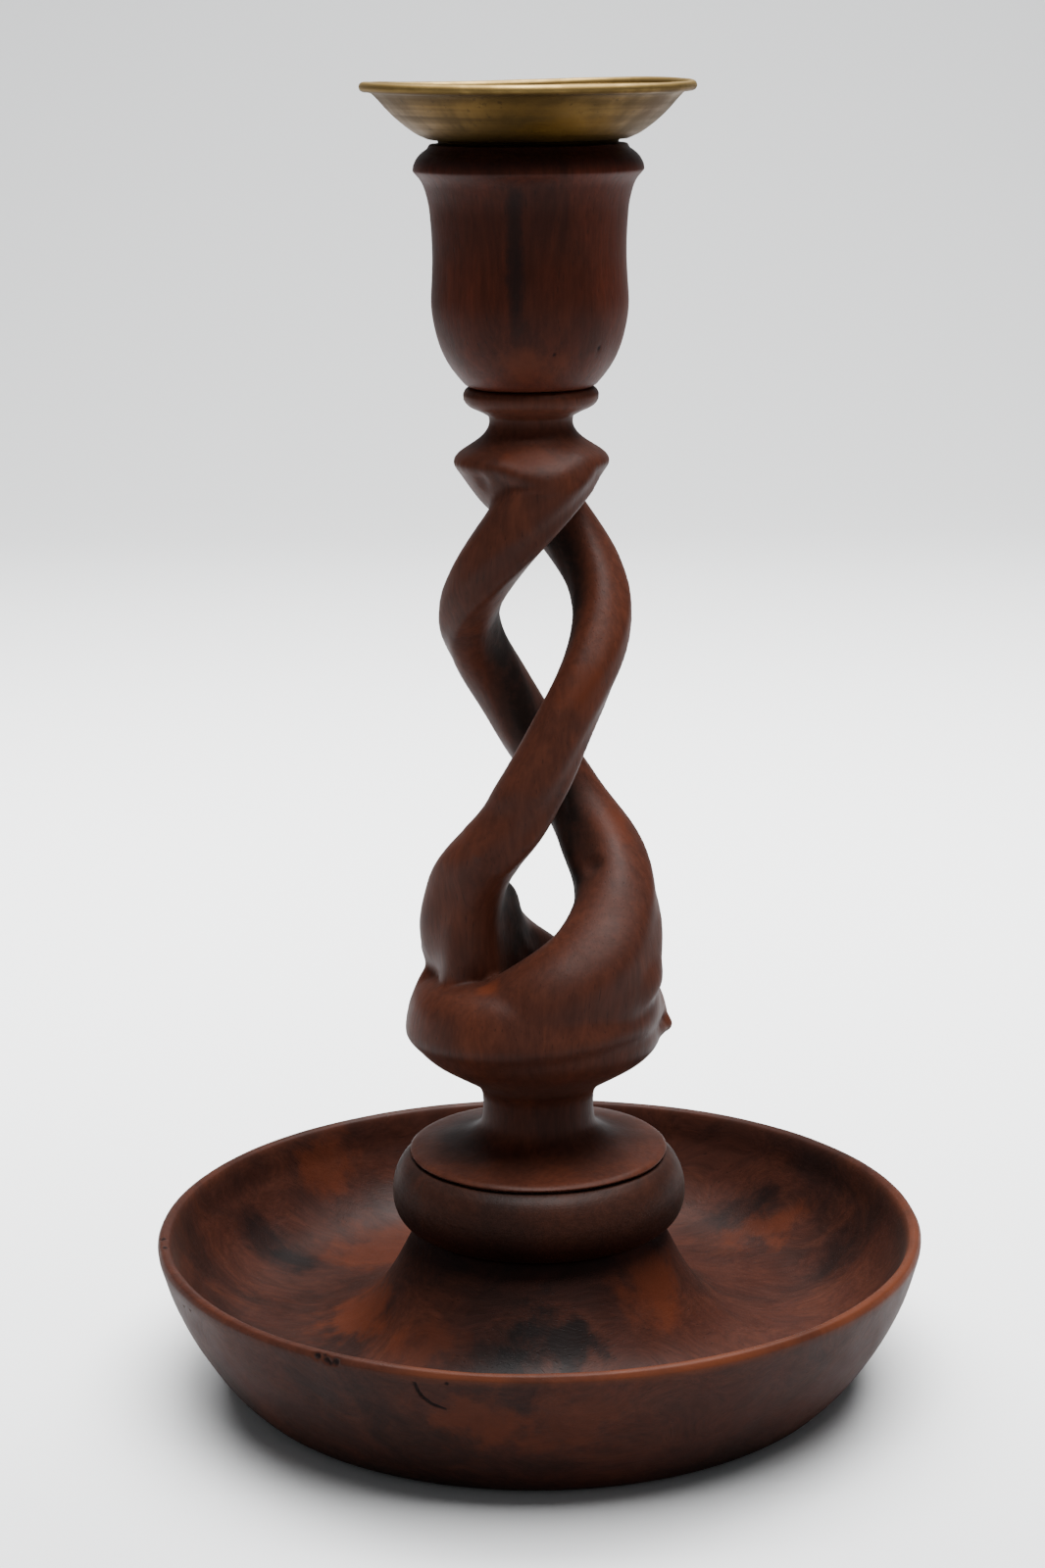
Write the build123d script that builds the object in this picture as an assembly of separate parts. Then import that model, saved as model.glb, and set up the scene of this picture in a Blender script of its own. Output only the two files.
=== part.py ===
from build123d import *
from math import cos, radians, sin
import os

# Open-twist candle holder: a turned wooden dish with a raised boss, a knop, a stem carved into
# two free strands that make one turn round each other, a turned candle cup, and a loose brass
# drip pan with its candle tube. Sizes are in millimetres and angles in degrees. +Z is up, the
# origin is the middle of the foot on the table, and the holder is looked at along +Y.

# Clearances and the overrun of cutters
glue_clearance = 0.05
tube_clearance = 0.3
overrun = 5.0

# Dish, with the boss that carries the knop in its middle
dish_radius = 77.0
boss_height = 31.0
foot_recess_radius = 50.0
foot_recess_depth = 1.5
mortise_depth = 22.0

# Knop, and the stem's long foot tenon that passes through it into the boss
knop_radius = 29.5
knop_height = 14.8
foot_tenon_radius = 9.5
tenon_end_gap = 1.0

# Foot disc and lower neck of the stem
disc_radius = 25.9
disc_height = 14.6

# Flare under the twist: two half turns of one lip, each tilted so that it drops to a hook
lip_radius = 26.0
flare_height = 13.0
lip_tilt = 5.0
lip_shift = 0.4
half_overlap = 0.3

# Twist: two strands cut from one tapered blank, a full right-handed turn in just over a pitch
twist_pitch = 110.0
blank_length = 113.5
blank_low_radius = 25.8
blank_high_radius = 16.2
blank_drop = 1.7
strand_shift = 0.6
front_strand_angle = -90.0
rear_strand_angle = 90.0

# Upper lip, upper neck and ring of the stem, and the tenon that holds the candle cup
collar_radius = 15.3
collar_height = 14.5
head_core_depth = 12.0
head_tenon_radius = 6.0
head_tenon_length = 10.0

# Candle cup
cup_radius = 21.8
cup_height = 45.4

# Brass candle tube and drip pan
tube_radius = 11.2
tube_wall = 0.7
tube_length = 26.0
tube_lip_width = 2.4
tube_end_gap = 1.9
pan_radius = 31.6
pan_height = 10.6
pan_sheet = 0.9
pan_bead_radius = 0.95

# Levels above the table
disc_level = boss_height + knop_height
flare_level = disc_level + disc_height
lip_level = flare_level + flare_height
blank_level = lip_level - blank_drop
collar_level = blank_level + blank_length
cup_level = collar_level + collar_height
pan_level = cup_level + cup_height
tube_high_level = pan_level + pan_sheet
tube_low_level = tube_high_level - tube_length
tube_outer_radius = tube_radius + tube_wall

# Outlines as shares of a piece's radius and height, the dish's of its boss height. Each row is
# one stretch, straight if it adds one point and a smooth curve if it adds more, and a new row
# is a corner.
dish_shares = [
    [(0.774, 0.0)],
    [(0.80, 0.036), (0.86, 0.196), (0.922, 0.43), (0.968, 0.67), (0.992, 0.86), (1.0, 0.945),
     (0.993, 0.978), (0.982, 0.987), (0.970, 0.972), (0.960, 0.91), (0.94, 0.742), (0.885, 0.51),
     (0.79, 0.34), (0.64, 0.28), (0.53, 0.324), (0.455, 0.432), (0.394, 0.633), (0.345, 0.864),
     (0.318, 1.0)],
]
knop_shares = [
    [(0.74, 0.0)],
    [(0.80, 0.01)],
    [(0.88, 0.05), (0.94, 0.125), (0.985, 0.27), (1.0, 0.47), (0.983, 0.69), (0.936, 0.885),
     (0.881, 0.985)],
    [(0.84, 1.0)],
]
disc_shares = [
    [(0.958, 0.0)],
    [(0.993, 0.03)],
    [(1.0, 0.055), (0.975, 0.095), (0.85, 0.14), (0.62, 0.225), (0.51, 0.32), (0.452, 0.425),
     (0.432, 0.56), (0.428, 0.76), (0.442, 0.92), (0.47, 1.0)],
]
flare_shares = [
    [(0.43, -1.0)],
    [(0.485, -0.91), (0.73, -0.51), (0.96, -0.12), (1.0, 0.0), (0.988, 0.23), (0.935, 0.54),
     (0.838, 0.79), (0.72, 0.89), (0.58, 0.88), (0.43, 0.72)],
]
bowl_shares = [
    [(0.452, -1.015)],
    [(0.596, -0.82), (0.727, -0.66), (0.842, -0.51), (0.93, -0.34), (0.962, -0.15), (0.93, 0.05),
     (0.70, 0.24)],
]
collar_shares = [
    [(1.0, 0.0)],
    [(0.974, 0.069), (0.804, 0.207), (0.66, 0.31), (0.562, 0.414), (0.523, 0.54), (0.533, 0.614)],
    [(0.627, 0.67), (0.784, 0.75), (0.843, 0.83), (0.85, 0.905), (0.815, 0.975)],
    [(0.74, 1.0)],
]
head_core_shares = [
    [(0.0, -1.0)],
    [(0.35, -0.93), (0.60, -0.70), (0.80, -0.36), (1.0, 0.0)],
    [(0.80, 0.22)],
]
cup_shares = [
    [(0.54, 0.0)],
    [(0.578, 0.011)],
    [(0.656, 0.055), (0.725, 0.104), (0.784, 0.165), (0.826, 0.233), (0.853, 0.30),
     (0.862, 0.357), (0.853, 0.445), (0.844, 0.533), (0.846, 0.621), (0.856, 0.703),
     (0.867, 0.753), (0.89, 0.802), (0.927, 0.85), (1.0, 0.892)],
    [(0.995, 0.912), (0.965, 0.943), (0.915, 0.968), (0.872, 0.982), (0.853, 1.0)],
]
pan_shares = [
    [(0.535, 0.0)],
    [(0.541, 0.066)],
    [(0.598, 0.085)],
    [(0.665, 0.175), (0.734, 0.32), (0.80, 0.485), (0.85, 0.635), (0.889, 0.765), (0.924, 0.87)],
    [(0.952, 0.90)],
]

# Strand sections from the bottom up, in shares: height on the blank, extra lead and reach to
# each side as shares of a turn, then inner and outer edge as shares of the blank's radius there
front_strand_shares = [
    (0.00, 0.00, 0.270, 0.05, 0.80),
    (0.035, 0.00, 0.280, 0.06, 0.90),
    (0.08, 0.00, 0.265, 0.08, 0.985),
    (0.13, 0.00, 0.225, 0.14, 1.02),
    (0.19, 0.00, 0.172, 0.23, 1.01),
    (0.27, 0.005, 0.127, 0.30, 0.98),
    (0.36, 0.007, 0.100, 0.33, 0.95),
    (0.45, 0.001, 0.087, 0.33, 0.93),
    (0.54, -0.018, 0.083, 0.31, 0.92),
    (0.63, -0.028, 0.089, 0.34, 0.95),
    (0.72, -0.020, 0.102, 0.38, 1.00),
    (0.80, -0.006, 0.112, 0.38, 1.00),
    (0.87, 0.008, 0.120, 0.32, 0.98),
    (0.93, 0.026, 0.138, 0.20, 0.95),
    (1.004, 0.045, 0.185, 0.08, 0.90),
]
rear_strand_shares = [
    (0.00, 0.030, 0.250, 0.05, 0.80),
    (0.035, 0.030, 0.250, 0.06, 0.88),
    (0.08, 0.032, 0.238, 0.08, 0.93),
    (0.13, 0.034, 0.208, 0.14, 0.96),
    (0.19, 0.018, 0.164, 0.23, 0.98),
    (0.27, 0.009, 0.116, 0.30, 0.95),
    (0.36, 0.018, 0.106, 0.32, 0.91),
    (0.45, 0.010, 0.088, 0.34, 0.89),
    (0.54, -0.017, 0.081, 0.36, 0.88),
    (0.63, -0.030, 0.086, 0.37, 0.91),
    (0.72, -0.020, 0.098, 0.38, 0.98),
    (0.80, -0.006, 0.109, 0.37, 1.00),
    (0.87, 0.008, 0.118, 0.31, 1.00),
    (0.93, 0.026, 0.138, 0.20, 0.97),
    (1.004, 0.045, 0.185, 0.08, 0.90),
]

# Corners of a strand's section and the end of its flat face, as shares of its depth and reach
corner_depth_share = 0.70
outer_corner_share = 0.66
inner_corner_share = 0.78
face_end_share = 0.30


def chain(shares, radius, height, level):
    """Edges through a table of shares, and the chain's first and last points."""
    rows = [[(radius * r, level + height * z) for r, z in row] for row in shares]
    start = last = rows[0][0]
    edges = []
    for row in rows[1:]:
        points = [last] + row
        edges.append(Line(points) if len(points) == 2 else Spline(points))
        last = row[-1]
    return edges, start, last


def turned(shares, radius, height, level):
    """Solid of revolution about Z, closed to the axis at both ends of its outline."""
    edges, start, last = chain(shares, radius, height, level)
    corners = [last, (0, last[1]), (0, start[1]), start]
    for near, far in zip(corners, corners[1:]):
        if near != far:
            edges.append(Line(near, far))
    return revolve(Plane.XZ * make_face(Curve() + edges), Axis.Z)


def peg(radius, low, high):
    """Round peg or cutter on the Z axis between two levels."""
    return Pos(0, 0, low) * Cylinder(
        radius, high - low, align=(Align.CENTER, Align.CENTER, Align.MIN)
    )


def make_dish():
    dish = turned(dish_shares, dish_radius, boss_height, 0)
    mortise = peg(
        foot_tenon_radius + glue_clearance, boss_height - mortise_depth, boss_height + overrun
    )
    return dish - mortise - peg(foot_recess_radius, -overrun, foot_recess_depth)


def make_knop():
    knop = turned(knop_shares, knop_radius, knop_height, boss_height)
    bore = peg(foot_tenon_radius + glue_clearance, boss_height - overrun, disc_level + overrun)
    return knop - bore


def strand_section(height, lead, reach, inner, outer, start_angle):
    """Level section of a strand: a rounded sector of a ring, its outer face on the blank."""
    radius = blank_low_radius + (blank_high_radius - blank_low_radius) * height
    turn = start_angle + 360 * (lead + height * blank_length / twist_pitch)
    middle = (inner + outer) / 2
    slant = radians(360 * reach * (outer_corner_share + inner_corner_share) / 2)

    def point(edge, depth, swing):
        along = radius * (middle + (edge - middle) * depth)
        angle = radians(360 * reach * swing)
        return (along * cos(angle), along * sin(angle))

    def side(edge, corner):
        half = [
            point(edge, 1, face_end_share),
            point(edge, corner_depth_share, corner),
            point(edge, 0, 1),
        ]
        mirrored = [(x, -y) for x, y in reversed(half)]
        way = 1 if edge > middle else -1
        leave = (way * cos(slant), -way * sin(slant))
        return Spline(*mirrored, point(edge, 1, 0), *half, tangents=(leave, (-leave[0], leave[1])))

    ring = make_face(Curve() + [side(outer, outer_corner_share), side(inner, inner_corner_share)])
    return Pos(0, 0, blank_level + height * blank_length) * Rot(0, 0, turn) * ring


def make_strand(shares, start_angle):
    return Pos(strand_shift, 0, 0) * loft([strand_section(*row, start_angle) for row in shares])


def make_flare():
    """Lip in two tilted halves, each ending in a hook beside the other, on one round bowl."""
    cutter_size = 4 * lip_radius
    front_cutter = Pos(0, half_overlap - cutter_size / 2, 0) * Box(
        cutter_size, cutter_size, cutter_size
    )
    half = turned(flare_shares, lip_radius, flare_height, 0) & front_cutter
    front = Pos(-lip_shift, 0, lip_level) * Rot(0, -lip_tilt, 0) * half
    rear = Rot(0, 0, 180) * front
    return front + rear + turned(bowl_shares, lip_radius, flare_height, lip_level)


def make_stem():
    stem = make_flare()
    stem += make_strand(front_strand_shares, front_strand_angle)
    stem += make_strand(rear_strand_shares, rear_strand_angle)
    stem += turned(head_core_shares, collar_radius, head_core_depth, collar_level)
    stem += turned(collar_shares, collar_radius, collar_height, collar_level)
    stem += turned(disc_shares, disc_radius, disc_height, disc_level)
    stem += peg(foot_tenon_radius, boss_height - mortise_depth + tenon_end_gap, disc_level)
    stem += peg(head_tenon_radius, cup_level, cup_level + head_tenon_length)
    return stem


def make_cup():
    cup = turned(cup_shares, cup_radius, cup_height, cup_level)
    bore = peg(
        tube_outer_radius + tube_clearance, tube_low_level - tube_end_gap, pan_level + overrun
    )
    mortise = peg(
        head_tenon_radius + glue_clearance,
        cup_level - overrun,
        cup_level + head_tenon_length + tenon_end_gap,
    )
    return cup - bore - mortise


def make_tube():
    """Brass tube with an in-turned lip at its lower end that stops the candle."""
    tube = peg(tube_outer_radius, tube_low_level, tube_high_level)
    tube -= peg(tube_radius, tube_low_level + tube_wall, tube_high_level + overrun)
    return tube - peg(tube_radius - tube_lip_width, tube_low_level - overrun, tube_high_level)


def make_pan():
    """Pan of brass sheet round the candle tube, with a rolled bead for its rim."""
    under, start, rim = chain(pan_shares, pan_radius, pan_height, pan_level)
    over, _, rim_over = chain(pan_shares, pan_radius, pan_height, pan_level + pan_sheet)
    edges = under + over
    edges.append(Line(rim, rim_over))
    edges.append(Line((tube_outer_radius, pan_level), start))
    edges.append(
        Line((tube_outer_radius, pan_level + pan_sheet), (start[0], pan_level + pan_sheet))
    )
    edges.append(
        Line((tube_outer_radius, pan_level), (tube_outer_radius, pan_level + pan_sheet))
    )
    sheet = revolve(Plane.XZ * make_face(Curve() + edges), Axis.Z)
    bead = Pos(0, 0, rim_over[1]) * Torus(pan_radius - pan_bead_radius, pan_bead_radius)
    return sheet + bead


pieces = {
    "dish": make_dish,
    "knop": make_knop,
    "twist_stem": make_stem,
    "candle_cup": make_cup,
    "candle_tube": make_tube,
    "drip_pan": make_pan,
}
os.makedirs("parts", exist_ok=True)
for name, make_piece in pieces.items():
    piece = make_piece()
    export_step(piece, f"parts/{name}.step")
    print(name, "solids", len(piece.solids()), "volume", round(piece.volume), piece.is_valid)
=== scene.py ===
import math
import bmesh
import bpy
from mathutils import Euler, Matrix, Vector, noise
from mathutils.geometry import interpolate_bezier, intersect_point_line


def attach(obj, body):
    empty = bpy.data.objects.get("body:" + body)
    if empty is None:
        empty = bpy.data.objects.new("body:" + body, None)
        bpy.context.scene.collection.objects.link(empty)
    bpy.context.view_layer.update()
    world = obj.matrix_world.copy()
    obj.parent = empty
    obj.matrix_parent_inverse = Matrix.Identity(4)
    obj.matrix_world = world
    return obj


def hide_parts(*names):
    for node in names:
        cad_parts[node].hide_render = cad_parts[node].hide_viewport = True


# Dressed model of an open-twist candle holder: turned burr dish, knop, carved two-strand stem,
# turned candle cup, and a loose brass drip pan with its candle tube. Lengths are in millimetres
# times mm, which makes them metres. +Z is up and the viewer stands at -Y.

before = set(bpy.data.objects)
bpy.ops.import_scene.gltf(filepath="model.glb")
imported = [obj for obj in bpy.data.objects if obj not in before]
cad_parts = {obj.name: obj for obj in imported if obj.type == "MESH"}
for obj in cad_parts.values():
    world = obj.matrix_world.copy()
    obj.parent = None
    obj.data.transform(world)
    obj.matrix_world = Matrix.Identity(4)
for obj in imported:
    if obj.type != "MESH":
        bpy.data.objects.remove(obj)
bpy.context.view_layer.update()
mm = 0.001

# Sizes and levels of the turned pieces
dish_radius = 77.0 * mm
boss_height = 31.0 * mm
recess_radius = 50.0 * mm
recess_depth = 1.5 * mm
mortise_radius = 9.55 * mm
mortise_floor = 9.0 * mm
knop_radius = 29.5 * mm
knop_height = 14.8 * mm
disc_radius = 25.9 * mm
disc_height = 14.6 * mm
disc_level = boss_height + knop_height
foot_tenon_radius = 9.5 * mm
foot_tenon_end = 10.0 * mm
collar_radius = 15.3 * mm
collar_height = 14.5 * mm
collar_level = 185.2 * mm
head_tenon_radius = 6.0 * mm
head_tenon_length = 10.0 * mm
cup_radius = 21.8 * mm
cup_height = 45.4 * mm
cup_level = collar_level + collar_height
cup_bore_radius = 12.2 * mm
cup_bore_floor = 218.1 * mm
head_mortise_radius = 6.05 * mm
head_mortise_top = 210.7 * mm
pan_level = cup_level + cup_height
pan_radius = 31.6 * mm
pan_height = 10.6 * mm
pan_sheet = 0.9 * mm
bead_radius = 0.95 * mm
tube_radius = 11.2 * mm
tube_outer_radius = 11.9 * mm
tube_lip_radius = 8.8 * mm
tube_low = 220.0 * mm
tube_wall = 0.7 * mm

# Outlines as shares of a piece's radius and height. Each row is one stretch, straight if it adds
# one point and smooth if it adds more, and a new row is a corner.
dish_shares = [
    [(0.774, 0.0)],
    [(0.80, 0.036), (0.86, 0.196), (0.922, 0.43), (0.968, 0.67), (0.992, 0.86), (1.0, 0.945),
     (0.993, 0.978), (0.982, 0.987), (0.970, 0.972), (0.960, 0.91), (0.94, 0.742), (0.885, 0.51),
     (0.79, 0.34), (0.64, 0.28), (0.53, 0.324), (0.455, 0.432), (0.394, 0.633), (0.345, 0.864),
     (0.318, 1.0)],
]
knop_shares = [
    [(0.74, 0.0)],
    [(0.80, 0.01)],
    [(0.88, 0.05), (0.94, 0.125), (0.985, 0.27), (1.0, 0.47), (0.983, 0.69), (0.936, 0.885),
     (0.881, 0.985)],
    [(0.84, 1.0)],
]
disc_shares = [
    [(0.958, 0.0)],
    [(0.993, 0.03)],
    [(1.0, 0.055), (0.975, 0.095), (0.85, 0.14), (0.62, 0.225), (0.51, 0.32), (0.452, 0.425),
     (0.432, 0.56), (0.428, 0.76), (0.442, 0.92), (0.47, 1.0)],
]
collar_shares = [
    [(1.0, 0.0)],
    [(0.974, 0.069), (0.804, 0.207), (0.66, 0.31), (0.562, 0.414), (0.523, 0.54), (0.533, 0.614)],
    [(0.627, 0.67), (0.784, 0.75), (0.843, 0.83), (0.85, 0.905), (0.815, 0.975)],
    [(0.74, 1.0)],
]
cup_shares = [
    [(0.54, 0.0)],
    [(0.578, 0.011)],
    [(0.656, 0.055), (0.725, 0.104), (0.784, 0.165), (0.826, 0.233), (0.853, 0.30),
     (0.862, 0.357), (0.853, 0.445), (0.844, 0.533), (0.846, 0.621), (0.856, 0.703),
     (0.867, 0.753), (0.89, 0.802), (0.927, 0.85), (1.0, 0.892)],
    [(0.995, 0.912), (0.965, 0.943), (0.915, 0.968), (0.872, 0.982), (0.853, 1.0)],
]
pan_shares = [
    [(0.535, 0.0)],
    [(0.541, 0.066)],
    [(0.598, 0.085)],
    [(0.665, 0.175), (0.734, 0.32), (0.80, 0.485), (0.85, 0.635), (0.889, 0.765), (0.924, 0.87)],
    [(0.952, 0.90)],
]

# How finely outlines are drawn and turned
outline_step = 0.8 * mm
turning_steps = 300
merge_distance = 0.002 * mm
corner_angle = math.radians(32)
calm_height = 5.0 * mm


def smooth_stretch(points):
    """Points of a smooth line through the given ones, the first left out."""
    line = []
    for i in range(len(points) - 1):
        near, far = Vector(points[i]), Vector(points[i + 1])
        before = Vector(points[i - 1]) if i > 0 else near
        after = Vector(points[i + 2]) if i + 2 < len(points) else far
        span = (far - near).length
        lead = (far - before).normalized() * span / 3
        trail = (after - near).normalized() * span / 3
        count = max(2, round(span / outline_step) + 1)
        piece = interpolate_bezier(near.to_3d(), (near + lead).to_3d(), (far - trail).to_3d(),
                                   far.to_3d(), count)
        line += [p.to_2d() for p in piece[1:]]
    return line


def outline(shares, radius, height, level):
    """Points (radius, level) along a table of shares."""
    rows = [[(radius * r, level + height * z) for r, z in row] for row in shares]
    line = [Vector(rows[0][0])]
    for row in rows[1:]:
        line += smooth_stretch([line[-1]] + row)
    return line


def as_points(pairs):
    """Pairs of radius and level as vectors."""
    return [Vector(p) for p in pairs]


def turned(line, closed=False, softening=0.25 * mm):
    """Bmesh of an outline turned round Z, its corners eased with a small bevel."""
    shape = bmesh.new()
    verts = [shape.verts.new((r, 0, z)) for r, z in line]
    pairs = list(zip(verts, verts[1:]))
    if closed:
        pairs.append((verts[-1], verts[0]))
    edges = [shape.edges.new(pair) for pair in pairs]
    bmesh.ops.spin(shape, geom=verts + edges, cent=(0, 0, 0), axis=(0, 0, 1),
                   angle=math.tau, steps=turning_steps, use_merge=True)
    bmesh.ops.remove_doubles(shape, verts=shape.verts[:], dist=merge_distance)
    bmesh.ops.recalc_face_normals(shape, faces=shape.faces[:])
    corners = [e for e in shape.edges
               if len(e.link_faces) == 2 and e.calc_face_angle() > corner_angle]
    bmesh.ops.bevel(shape, geom=corners, offset=softening, offset_type="OFFSET", segments=3,
                    profile=0.5, affect="EDGES", clamp_overlap=True, material=-1)
    return shape


def waver(shape, size, amount, seed):
    """Moves the surface in and out by a slow noise, as handwork and wear leave it."""
    shift = Vector((seed, -seed, seed))
    shape.normal_update()
    for vert in shape.verts:
        share = min(1, vert.co.z / calm_height)
        vert.co += vert.normal * amount * share * noise.noise(vert.co / size + shift)


# Marks on a shape: their places and sizes are given in millimetres
def refine(shape, centre, reach, cuts):
    """Divides the faces round a place, for marks that are finer than the mesh."""
    centre, reach = Vector(centre) * mm, reach * mm
    near = [face for face in shape.faces
            if (face.calc_center_median() - centre).length < reach]
    # A dictionary drops repeats and keeps the order, so each run gives the same faces
    edges = list(dict.fromkeys(edge for face in near for edge in face.edges))
    bmesh.ops.subdivide_edges(shape, edges=edges, cuts=cuts, use_grid_fill=True)
    many = [face for face in shape.faces if len(face.verts) > 4]
    bmesh.ops.triangulate(shape, faces=many)
    shape.normal_update()


def mark_layer(shape):
    """Vertex layer that says how dark a dent or crack is."""
    return shape.verts.layers.float.get("mark") or shape.verts.layers.float.new("mark")


def press(shape, centre, radius, depth, stretch=(1, 1, 1), darkness=1.0):
    """Presses a soft hollow into the surface round a point."""
    layer = mark_layer(shape)
    centre, radius, depth = Vector(centre) * mm, radius * mm, depth * mm
    for vert in shape.verts:
        away = vert.co - centre
        if max(map(abs, away)) > radius * max(stretch):
            continue
        reach = Vector((away[i] / stretch[i] for i in range(3))).length / radius
        if reach < 1:
            share = (1 - reach * reach) ** 2
            vert.co -= vert.normal * depth * share
            vert[layer] = max(vert[layer], darkness * share)


def crack(shape, points, width, depth):
    """Cuts a narrow groove along a line of points, shallower towards its ends."""
    layer = mark_layer(shape)
    points, width, depth = [Vector(p) * mm for p in points], width * mm, depth * mm
    middle = sum(points, Vector()) / len(points)
    span = max((p - middle).length for p in points)
    for vert in shape.verts:
        if (vert.co - middle).length > span + width:
            continue
        far = width
        for near_end, far_end in zip(points, points[1:]):
            foot, along = intersect_point_line(vert.co, near_end, far_end)
            if 0 <= along <= 1:
                far = min(far, (vert.co - foot).length)
        share = (1 - far / width) * (1 - 0.6 * ((vert.co - middle).length / span) ** 2)
        if share > 0:
            vert.co -= vert.normal * depth * share
            vert[layer] = max(vert[layer], min(1, 1.6 * share))


def pull(shape, centre, reach, shift):
    """Moves the surface round a point by a shift that fades out smoothly."""
    centre, shift = Vector(centre) * mm, Vector(shift) * mm
    for vert in shape.verts:
        away = vert.co - centre
        far = Vector((away[i] / (reach[i] * mm) for i in range(3))).length
        if far < 1:
            vert.co += shift * (1 - far * far) ** 2


def record_edges(shape, passes):
    """Stores how convex (above 0) or hollow (below 0) the surface is at each vertex."""
    layer = shape.verts.layers.float.new("edge")
    shape.normal_update()
    for vert in shape.verts:
        bends = [(e.other_vert(vert).co - vert.co).normalized().dot(vert.normal)
                 for e in vert.link_edges]
        vert[layer] = -sum(bends) / len(bends)
    for _ in range(passes):
        means = []
        for vert in shape.verts:
            near = [e.other_vert(vert)[layer] for e in vert.link_edges]
            means.append((vert[layer] + sum(near) / len(near)) / 2)
        for vert, mean in zip(shape.verts, means):
            vert[layer] = mean


def finished(name, shape, body, nodes, passes=2):
    """A smooth-shaded object from a bmesh, riding on its body and standing for its nodes."""
    record_edges(shape, passes)
    for face in shape.faces:
        face.smooth = True
    for edge in shape.edges:
        if len(edge.link_faces) == 2 and edge.calc_face_angle() > corner_angle:
            edge.smooth = False
    mesh = bpy.data.meshes.new(name)
    shape.to_mesh(mesh)
    shape.free()
    piece = bpy.data.objects.new(name, mesh)
    bpy.context.scene.collection.objects.link(piece)
    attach(piece, body)
    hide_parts(*nodes)
    return piece


# Dish, with the dents, chips and crack of its rim and wall
dish_line = as_points([(0, mortise_floor), (mortise_radius, mortise_floor),
                       (mortise_radius, boss_height)])
dish_line += reversed(outline(dish_shares, dish_radius, boss_height, 0))
dish_line += as_points([(recess_radius, 0), (recess_radius, recess_depth), (0, recess_depth)])
dish_shape = turned(dish_line)
waver(dish_shape, size=28 * mm, amount=0.22 * mm, seed=3.1)
waver(dish_shape, size=7 * mm, amount=0.05 * mm, seed=8.4)
finer_places = [((-39.5, -66, 29.5), 4.5), ((-19.5, -73, 25.5), 6.0),
                ((-75, -9.5, 30.6), 5.5), ((-68, -35, 27), 3.5)]
for place, reach in finer_places:
    refine(dish_shape, place, reach, 3)
dish_marks = [
    ((-41.2, -64.9, 29.7), 1.2, 0.55), ((-39.5, -66.1, 29.4), 1.1, 0.60),
    ((-37.7, -67.0, 29.4), 1.2, 0.55), ((-39.9, -65.6, 30.4), 0.9, 0.35),
    ((-38.6, -66.2, 28.9), 0.9, 0.35), ((-75.5, -7.2, 30.6), 1.2, 0.45),
    ((-74.6, -11.9, 30.6), 1.1, 0.40), ((-68.7, -33.3, 26.7), 0.5, 0.20),
    ((-67.2, -36.6, 27.2), 0.5, 0.20), ((-17.3, -75.0, 28.3), 0.8, 0.20),
]
for centre, radius, depth in dish_marks:
    press(dish_shape, centre, radius, depth)
wall_crack = [(-23.2, -73.2, 28.0), (-22.7, -72.9, 26.4), (-21.8, -72.6, 24.9),
              (-20.0, -72.6, 23.5), (-17.2, -73.0, 22.5)]
crack(dish_shape, wall_crack, 0.55, 0.35)
dish = finished("dish_turned", dish_shape, "holder", ["dish"])

# Knop
knop_line = outline(knop_shares, knop_radius, knop_height, boss_height)
knop_line += as_points([(mortise_radius, disc_level), (mortise_radius, boss_height)])
knop_shape = turned(knop_line, closed=True)
waver(knop_shape, size=15 * mm, amount=0.12 * mm, seed=5.2)
knop = finished("knop_turned", knop_shape, "holder", ["knop"])

# Candle cup
cup_line = as_points([(0, head_mortise_top), (head_mortise_radius, head_mortise_top),
                      (head_mortise_radius, cup_level)])
cup_line += outline(cup_shares, cup_radius, cup_height, cup_level)
cup_line += as_points([(cup_bore_radius, pan_level), (cup_bore_radius, cup_bore_floor),
                       (0, cup_bore_floor)])
cup_shape = turned(cup_line)
waver(cup_shape, size=14 * mm, amount=0.12 * mm, seed=1.7)
cup_pits = [((4.4, -16.6, 207.4), 0.7, 0.15), ((12.7, -11.7, 207.7), 0.9, 0.15)]
for centre, radius, depth in cup_pits:
    press(cup_shape, centre, radius, depth)
cup = finished("cup_turned", cup_shape, "holder", ["candle_cup"])

# Brass candle tube
tube_top = pan_level + pan_sheet
tube_line = as_points([
    (tube_radius, tube_top), (tube_radius, tube_low + tube_wall),
    (tube_lip_radius, tube_low + tube_wall), (tube_lip_radius, tube_low),
    (tube_outer_radius, tube_low), (tube_outer_radius, tube_top),
])
tube = finished("tube_drawn", turned(tube_line, closed=True, softening=0.12 * mm), "drip_cup",
                ["candle_tube"])

# Brass drip pan: sheet from the tube outwards on its under side, round the bead and back
under = outline(pan_shares, pan_radius, pan_height, pan_level)
over = outline(pan_shares, pan_radius, pan_height, pan_level + pan_sheet)
bead_centre = Vector((pan_radius - bead_radius, over[-1][1]))
bead_steps = 14
bead_start, bead_end = math.radians(-118), math.radians(196)
bead = []
for step in range(bead_steps + 1):
    turn = bead_start + (bead_end - bead_start) * step / bead_steps
    bead.append(bead_centre + bead_radius * Vector((math.cos(turn), math.sin(turn))))
pan_line = as_points([(tube_outer_radius, pan_level)]) + under[:-1] + bead
pan_line += list(reversed(over[:-1])) + as_points([(tube_outer_radius, pan_level + pan_sheet)])
pan_shape = turned(pan_line, closed=True, softening=0.15 * mm)
pan_bend = 0.24 * mm
for vert in pan_shape.verts:
    share = (vert.co.xy.length / pan_radius) ** 3
    turn = math.atan2(vert.co.y, vert.co.x)
    vert.co.z += pan_bend * share * (math.sin(2 * turn + 0.6) + 0.5 * math.sin(3 * turn - 1.2))
waver(pan_shape, size=9 * mm, amount=0.06 * mm, seed=6.6)
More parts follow.
